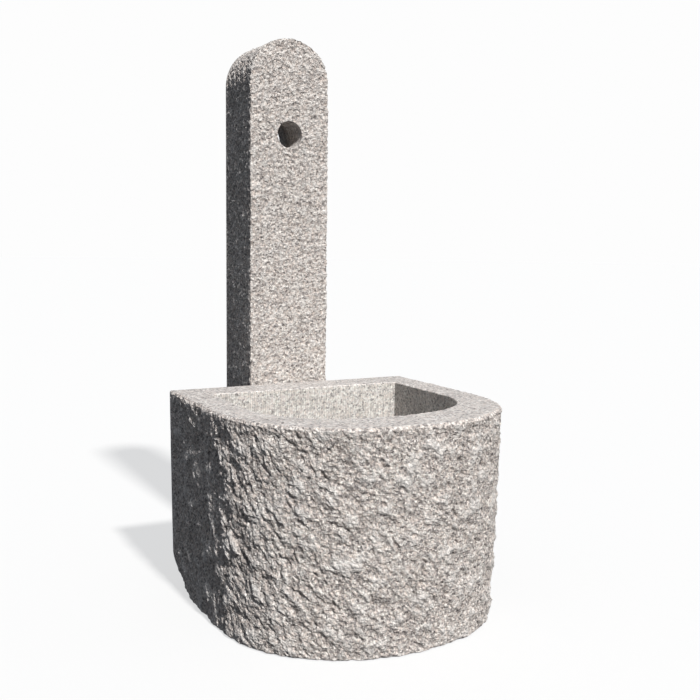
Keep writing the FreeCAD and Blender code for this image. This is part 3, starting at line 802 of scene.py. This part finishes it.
def column_face(bm):
    """The front face as a grid drawn into the arched outline, with the tap hole left open."""
    bmesh.ops.create_grid(bm, x_segments=COLUMN_COLUMNS, y_segments=COLUMN_ROWS + HEAD_ROWS, size=0.5)
    hole_i = COLUMN_COLUMNS // 2
    spring = COLUMN_HIGH.z - COLUMN_HIGH.x
    hole_j = round(TAP_HOLE_HEIGHT / spring * COLUMN_ROWS)
    inside = []
    for vert in bm.verts:
        i = round((vert.co.x + 0.5) * COLUMN_COLUMNS)
        j = round((vert.co.y + 0.5) * (COLUMN_ROWS + HEAD_ROWS))
        if ring_of(i, j, hole_i, hole_j) < HOLE_RING:
            inside.append(vert)
        x, z = round_hole(i, j, hole_i, hole_j)
        vert.co = Vector((x, COLUMN_LOW.y, z))
    bmesh.ops.delete(bm, geom=inside, context="VERTS")


def near_hole(vert):
    return math.hypot(vert.co.x, vert.co.z - TAP_HOLE_HEIGHT) < TAP_HOLE_RADIUS + 0.001


def column_mesh(settings):
    bm = bmesh.new()
    tooling = bm.verts.layers.float.new("tooling")
    crest = bm.verts.layers.float.new("crest")
    bm.verts.layers.float.new("combed")
    bm.verts.layers.float.new("run")
    column_face(bm)
    rim = [edge for edge in bm.edges if edge.is_boundary]
    hole = [edge for edge in rim if near_hole(edge.verts[0]) and near_hole(edge.verts[1])]
    sill = [edge for edge in rim if max(vert.co.z for vert in edge.verts) < 1e-6]
    arch = [edge for edge in rim if edge not in set(hole) and edge not in set(sill)]
    depth = COLUMN_HIGH.y - COLUMN_LOW.y
    back_rim = pull_edges(bm, arch, Vector((0.0, depth, 0.0)), COLUMN_LAYERS)
    bore_end = pull_edges(bm, hole, Vector((0.0, depth - CHASE_DEPTH, 0.0)), 24)

    # the chase: its mouth's outline, walls and floor
    start = bm.verts.new((CHASE_HALF, COLUMN_HIGH.y, 0.0))
    outline = []
    grown = bmesh.ops.extrude_vert_indiv(bm, verts=[start])
    outline += grown["edges"]
    tip = grown["verts"][0]
    tip.co.z = TAP_HOLE_HEIGHT
    turned = bmesh.ops.spin(
        bm, geom=[tip], cent=(0.0, COLUMN_HIGH.y, TAP_HOLE_HEIGHT), axis=(0.0, -1.0, 0.0),
        angle=math.pi, steps=24, use_duplicate=False)["geom_last"]
    outline += [edge for edge in bm.edges if edge.is_wire and edge not in set(outline)]
    grown = bmesh.ops.extrude_vert_indiv(bm, verts=verts_of(turned))
    outline += grown["edges"]
    grown["verts"][0].co.z = 0.0
    chase_end = pull_edges(bm, outline, Vector((0.0, -CHASE_DEPTH, 0.0)), 6)

    def foot_edge(y, x_from, x_to):
        """A straight edge on the ground between two corners that are already there."""
        ends = []
        for x in (x_from, x_to):
            ends.append(min(bm.verts, key=lambda v: (v.co - Vector((x, y, 0.0))).length))
        return bm.edges.new(ends)

    chase_floor = COLUMN_HIGH.y - CHASE_DEPTH
    closing = foot_edge(chase_floor, -CHASE_HALF, CHASE_HALF)
    bmesh.ops.triangle_fill(bm, use_beauty=True, edges=chase_end + bore_end + [closing])
    feet = [foot_edge(COLUMN_HIGH.y, side * COLUMN_HIGH.x, side * CHASE_HALF) for side in (-1, 1)]
    bmesh.ops.triangle_fill(bm, use_beauty=True, edges=back_rim + outline + feet)
    sockets = []
    for side in (-1, 1):
        place = Vector((side * DOWEL_HOLE_SIDE, COLUMN_LOW.y + DOWEL_HOLE_SETBACK, 0.0))
        verts = bmesh.ops.create_circle(
            bm, segments=24, radius=DOWEL_HOLE_RADIUS, matrix=Matrix.Translation(place))["verts"]
        mouth = list({edge for vert in verts for edge in vert.link_edges})
        sockets += mouth
        end = pull_edges(bm, mouth, Vector((0.0, 0.0, DOWEL_HOLE_DEPTH)), 1)
        bmesh.ops.triangle_fill(bm, use_beauty=True, edges=end)
    base = [edge for edge in bm.edges if edge.is_boundary]
    bmesh.ops.triangle_fill(bm, use_beauty=True, edges=base)
    bmesh.ops.recalc_face_normals(bm, faces=bm.faces)
    bm.normal_update()
    hammer_column(bm, tooling, crest, settings)
    return bm


def hammer_column(bm, tooling, crest, settings):
    """Works the face and the sides over with the bush hammer, and rubs the edges."""
    radius = COLUMN_HIGH.x
    spring = COLUMN_HIGH.z - radius
    normals = [vert.normal.copy() for vert in bm.verts]
    for vert, normal in zip(bm.verts[:], normals):
        spot = vert.co.copy()
        above = max(spot.z - spring, 0.0)
        from_side = radius - math.hypot(spot.x, above)
        from_front = spot.y - COLUMN_LOW.y
        from_back = COLUMN_HIGH.y - spot.y
        on_front, on_side = from_front < 1e-5, from_side < 1e-5
        vert[crest] = 0.5
        vert[tooling] = 0.3
        if not (on_front or on_side):
            continue
        depth = hammered_relief(spot)
        slow = 0.5 + noise.fractal(spot / 0.12, 1.0, 2.0, 2)
        taken = settings.hammer * depth + 0.0009 * slow
        edge = max(from_side if on_front else from_front, 0.0)
        if on_side:
            edge = min(edge, from_back)
        if edge < 0.006:
            rubbed = 0.35 + 0.65 * chip_depth(spot.z + spot.x, 15.0)
            taken += settings.wear * 0.8 * rubbed * (1 - edge / 0.006) ** 2
        fade = smooth(from_back / 0.01) if on_side else 1.0
        if on_side and from_back < 1e-5:
            fade = 0.0
        if near_hole(vert):
            normal = Vector((0.0, -1.0, 0.0))
        if spot.z < 1e-6:
            normal = Vector((normal.x, normal.y, 0.0)).normalized()
        vert.co = spot - normal * taken * fade
        vert[crest] = 1.0 - depth
        vert[tooling] = 0.84


# ---- Operators ----
class FOUNTAIN_OT_trough(bpy.types.Operator):
    """Builds the hewn granite trough"""
    bl_idname = "fountain.trough"
    bl_label = "Trough"

    def execute(self, context):
        rings, runs = trough_rings(context.scene.fountain_stone)
        bm = loft(rings, runs)
        new_piece("trough_stone", bm, granite("granite_trough", 1.11), "granite_trough", "basin")
        return {"FINISHED"}


class FOUNTAIN_OT_column(bpy.types.Operator):
    """Builds the bush-hammered column with its tap hole and chase"""
    bl_idname = "fountain.column"
    bl_label = "Column"

    def execute(self, context):
        bm = column_mesh(context.scene.fountain_stone)
        new_piece("column_stone", bm, granite("granite_column", 0.99), "granite_column", "column")
        return {"FINISHED"}


class FOUNTAIN_OT_fittings(bpy.types.Operator):
    """Finishes the waste, the standpipe, the feed pipe and what holds the stones together"""
    bl_idname = "fountain.fittings"
    bl_label = "Fittings"

    def execute(self, context):
        s = context.scene.fountain_fittings
        steel = metal("stainless", s.steel, 0.26, 0.7)
        dress(steel, "waste_body", "tie_dowels", "standpipe_tube", "standpipe_strainer", "standpipe_knob")
        brass = metal("brass", s.brass, 0.30, 0.4, (0.20, 0.13, 0.06), 0.55)
        dress(brass, "waste_back_nut", "standpipe_plug", "feed_elbow", "feed_union")
        copper = metal("copper", s.copper, 0.28, 0.5, (0.16, 0.075, 0.045), 0.6)
        dress(copper, "feed_pipe")
        zinc = metal("zinc_steel", s.zinc, 0.38, 0.3, (0.42, 0.42, 0.40), 0.4)
        dress(zinc, "pipe_clip_fronts", "pipe_clip_backs")
        blackened = metal("blackened_zinc", shaded(s.zinc, 0.36), 0.24, 0.3, (0.30, 0.30, 0.28), 0.25)
        dress(blackened, "pipe_clip_screws", "pipe_clip_studs")
        rubber = moulded("rubber", s.rubber, 0.62)
        dress(rubber, "spacer_pads", "waste_gasket", "waste_under_gasket")
        dress(rubber, "standpipe_seal", "pipe_clip_liners")
        dress(moulded("nylon", s.nylon, 0.5), "wall_plugs", "waste_slip_washer")
        return {"FINISHED"}


class FOUNTAIN_OT_stage(bpy.types.Operator):
    """Sets the floor, the lights and the camera"""
    bl_idname = "fountain.stage"
    bl_label = "Stage"

    def execute(self, context):
        scene = context.scene
        s = scene.fountain_stage
        scene.view_settings.view_transform = "Standard"
        bm = bmesh.new()
        under = Matrix.Translation(Vector((0.0, 0.0, -0.0003)))
        bmesh.ops.create_circle(bm, cap_ends=True, segments=96, radius=40.0, matrix=under)
        mesh = bpy.data.meshes.new("floor")
        bm.to_mesh(mesh)
        bm.free()
        material = bpy.data.materials.new("floor")
        t = Tree(material)
        t.surface(
            Base_Color=rgba(shaded(s.floor, 0.3)), Roughness=1.0, Specular_IOR_Level=0.0,
            Emission_Color=rgba(s.floor), Emission_Strength=0.80)
        mesh.materials.append(material)
        floor = bpy.data.objects.new("floor", mesh)
        floor.visible_diffuse = False
        floor.visible_glossy = False
        scene.collection.objects.link(floor)
        floor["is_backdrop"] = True

        key = bpy.data.lights.new("key", "SUN")
        key.energy = s.key
        key.angle = s.key_spread
        key.color = (1.0, 0.985, 0.96)
        lamp = bpy.data.objects.new("key", key)
        lamp.rotation_euler = Euler((math.pi / 2 - s.key_height, 0.0, s.key_azimuth))
        scene.collection.objects.link(lamp)

        world = bpy.data.worlds.new("studio")
        scene.world = world
        t = Tree(world)
        seen = t.add("LightPath").outputs["Is Camera Ray"]
        height = t.add("SeparateXYZ", {"Vector": t.add("TexCoord").outputs["Generated"]}).outputs["Z"]
        sky = t.ramp(t.span(height, -1.0, 1.0), [
            (0.0, (0.20, 0.20, 0.22)),
            (0.45, (0.57, 0.62, 0.69)),
            (1.0, (1.70, 1.85, 2.08)),
        ])
        glow = t.add("Background", {"Color": sky, "Strength": s.fill})
        backdrop = t.add("Background", {"Color": (0.982, 0.982, 0.982, 1.0), "Strength": 1.0})
        mixed = t.add("MixShader", {0: seen, 1: glow.outputs[0], 2: backdrop.outputs[0]})
        t.add("OutputWorld", {"Surface": mixed.outputs[0]})

        camera = bpy.data.cameras.new("camera")
        camera.lens = 49.79
        camera.sensor_width = 36.0
        eye = bpy.data.objects.new("camera", camera)
        aim = Euler((math.radians(90 - 6.388), 0.0, math.radians(-28.053))).to_matrix().to_4x4()
        level = Matrix.Rotation(math.radians(0.645), 4, "Z")
        eye.matrix_world = Matrix.Translation(Vector((-0.9518, -1.8707, 0.7799))) @ aim @ level
        scene.collection.objects.link(eye)
        scene.camera = eye
        return {"FINISHED"}


class FOUNTAIN_PT_panel(bpy.types.Panel):
    """Lists the fountain's pieces and their settings"""
    bl_idname = "FOUNTAIN_PT_panel"
    bl_label = "Granite Fountain"
    bl_space_type = "VIEW_3D"
    bl_region_type = "UI"
    bl_category = "Fountain"

    def draw(self, context):
        layout = self.layout
        for operator in OPERATORS:
            layout.operator(operator.bl_idname)
        for name, group in SETTINGS.items():
            box = layout.box()
            for prop in group.__annotations__:
                box.prop(getattr(context.scene, name), prop)


SETTINGS = {
    "fountain_stage": StageSettings,
    "fountain_stone": StoneSettings,
    "fountain_granite": GraniteSettings,
    "fountain_fittings": FittingSettings,
}
OPERATORS = (FOUNTAIN_OT_stage, FOUNTAIN_OT_trough, FOUNTAIN_OT_column, FOUNTAIN_OT_fittings)
CLASSES = (*SETTINGS.values(), *OPERATORS, FOUNTAIN_PT_panel)


def register():
    for cls in CLASSES:
        bpy.utils.register_class(cls)
    for name, group in SETTINGS.items():
        setattr(bpy.types.Scene, name, PointerProperty(type=group))


def unregister():
    for name in SETTINGS:
        delattr(bpy.types.Scene, name)
    for cls in reversed(CLASSES):
        bpy.utils.unregister_class(cls)


def main():
    register()
    bpy.ops.fountain.stage()
    bpy.ops.fountain.trough()
    bpy.ops.fountain.column()
    bpy.ops.fountain.fittings()
    bpy.context.view_layer.update()
    for name, box in (("cad", CAD_BOX), ("visual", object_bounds())):
        [list(corner) for corner in box]


if __name__ == "__main__":
    main()
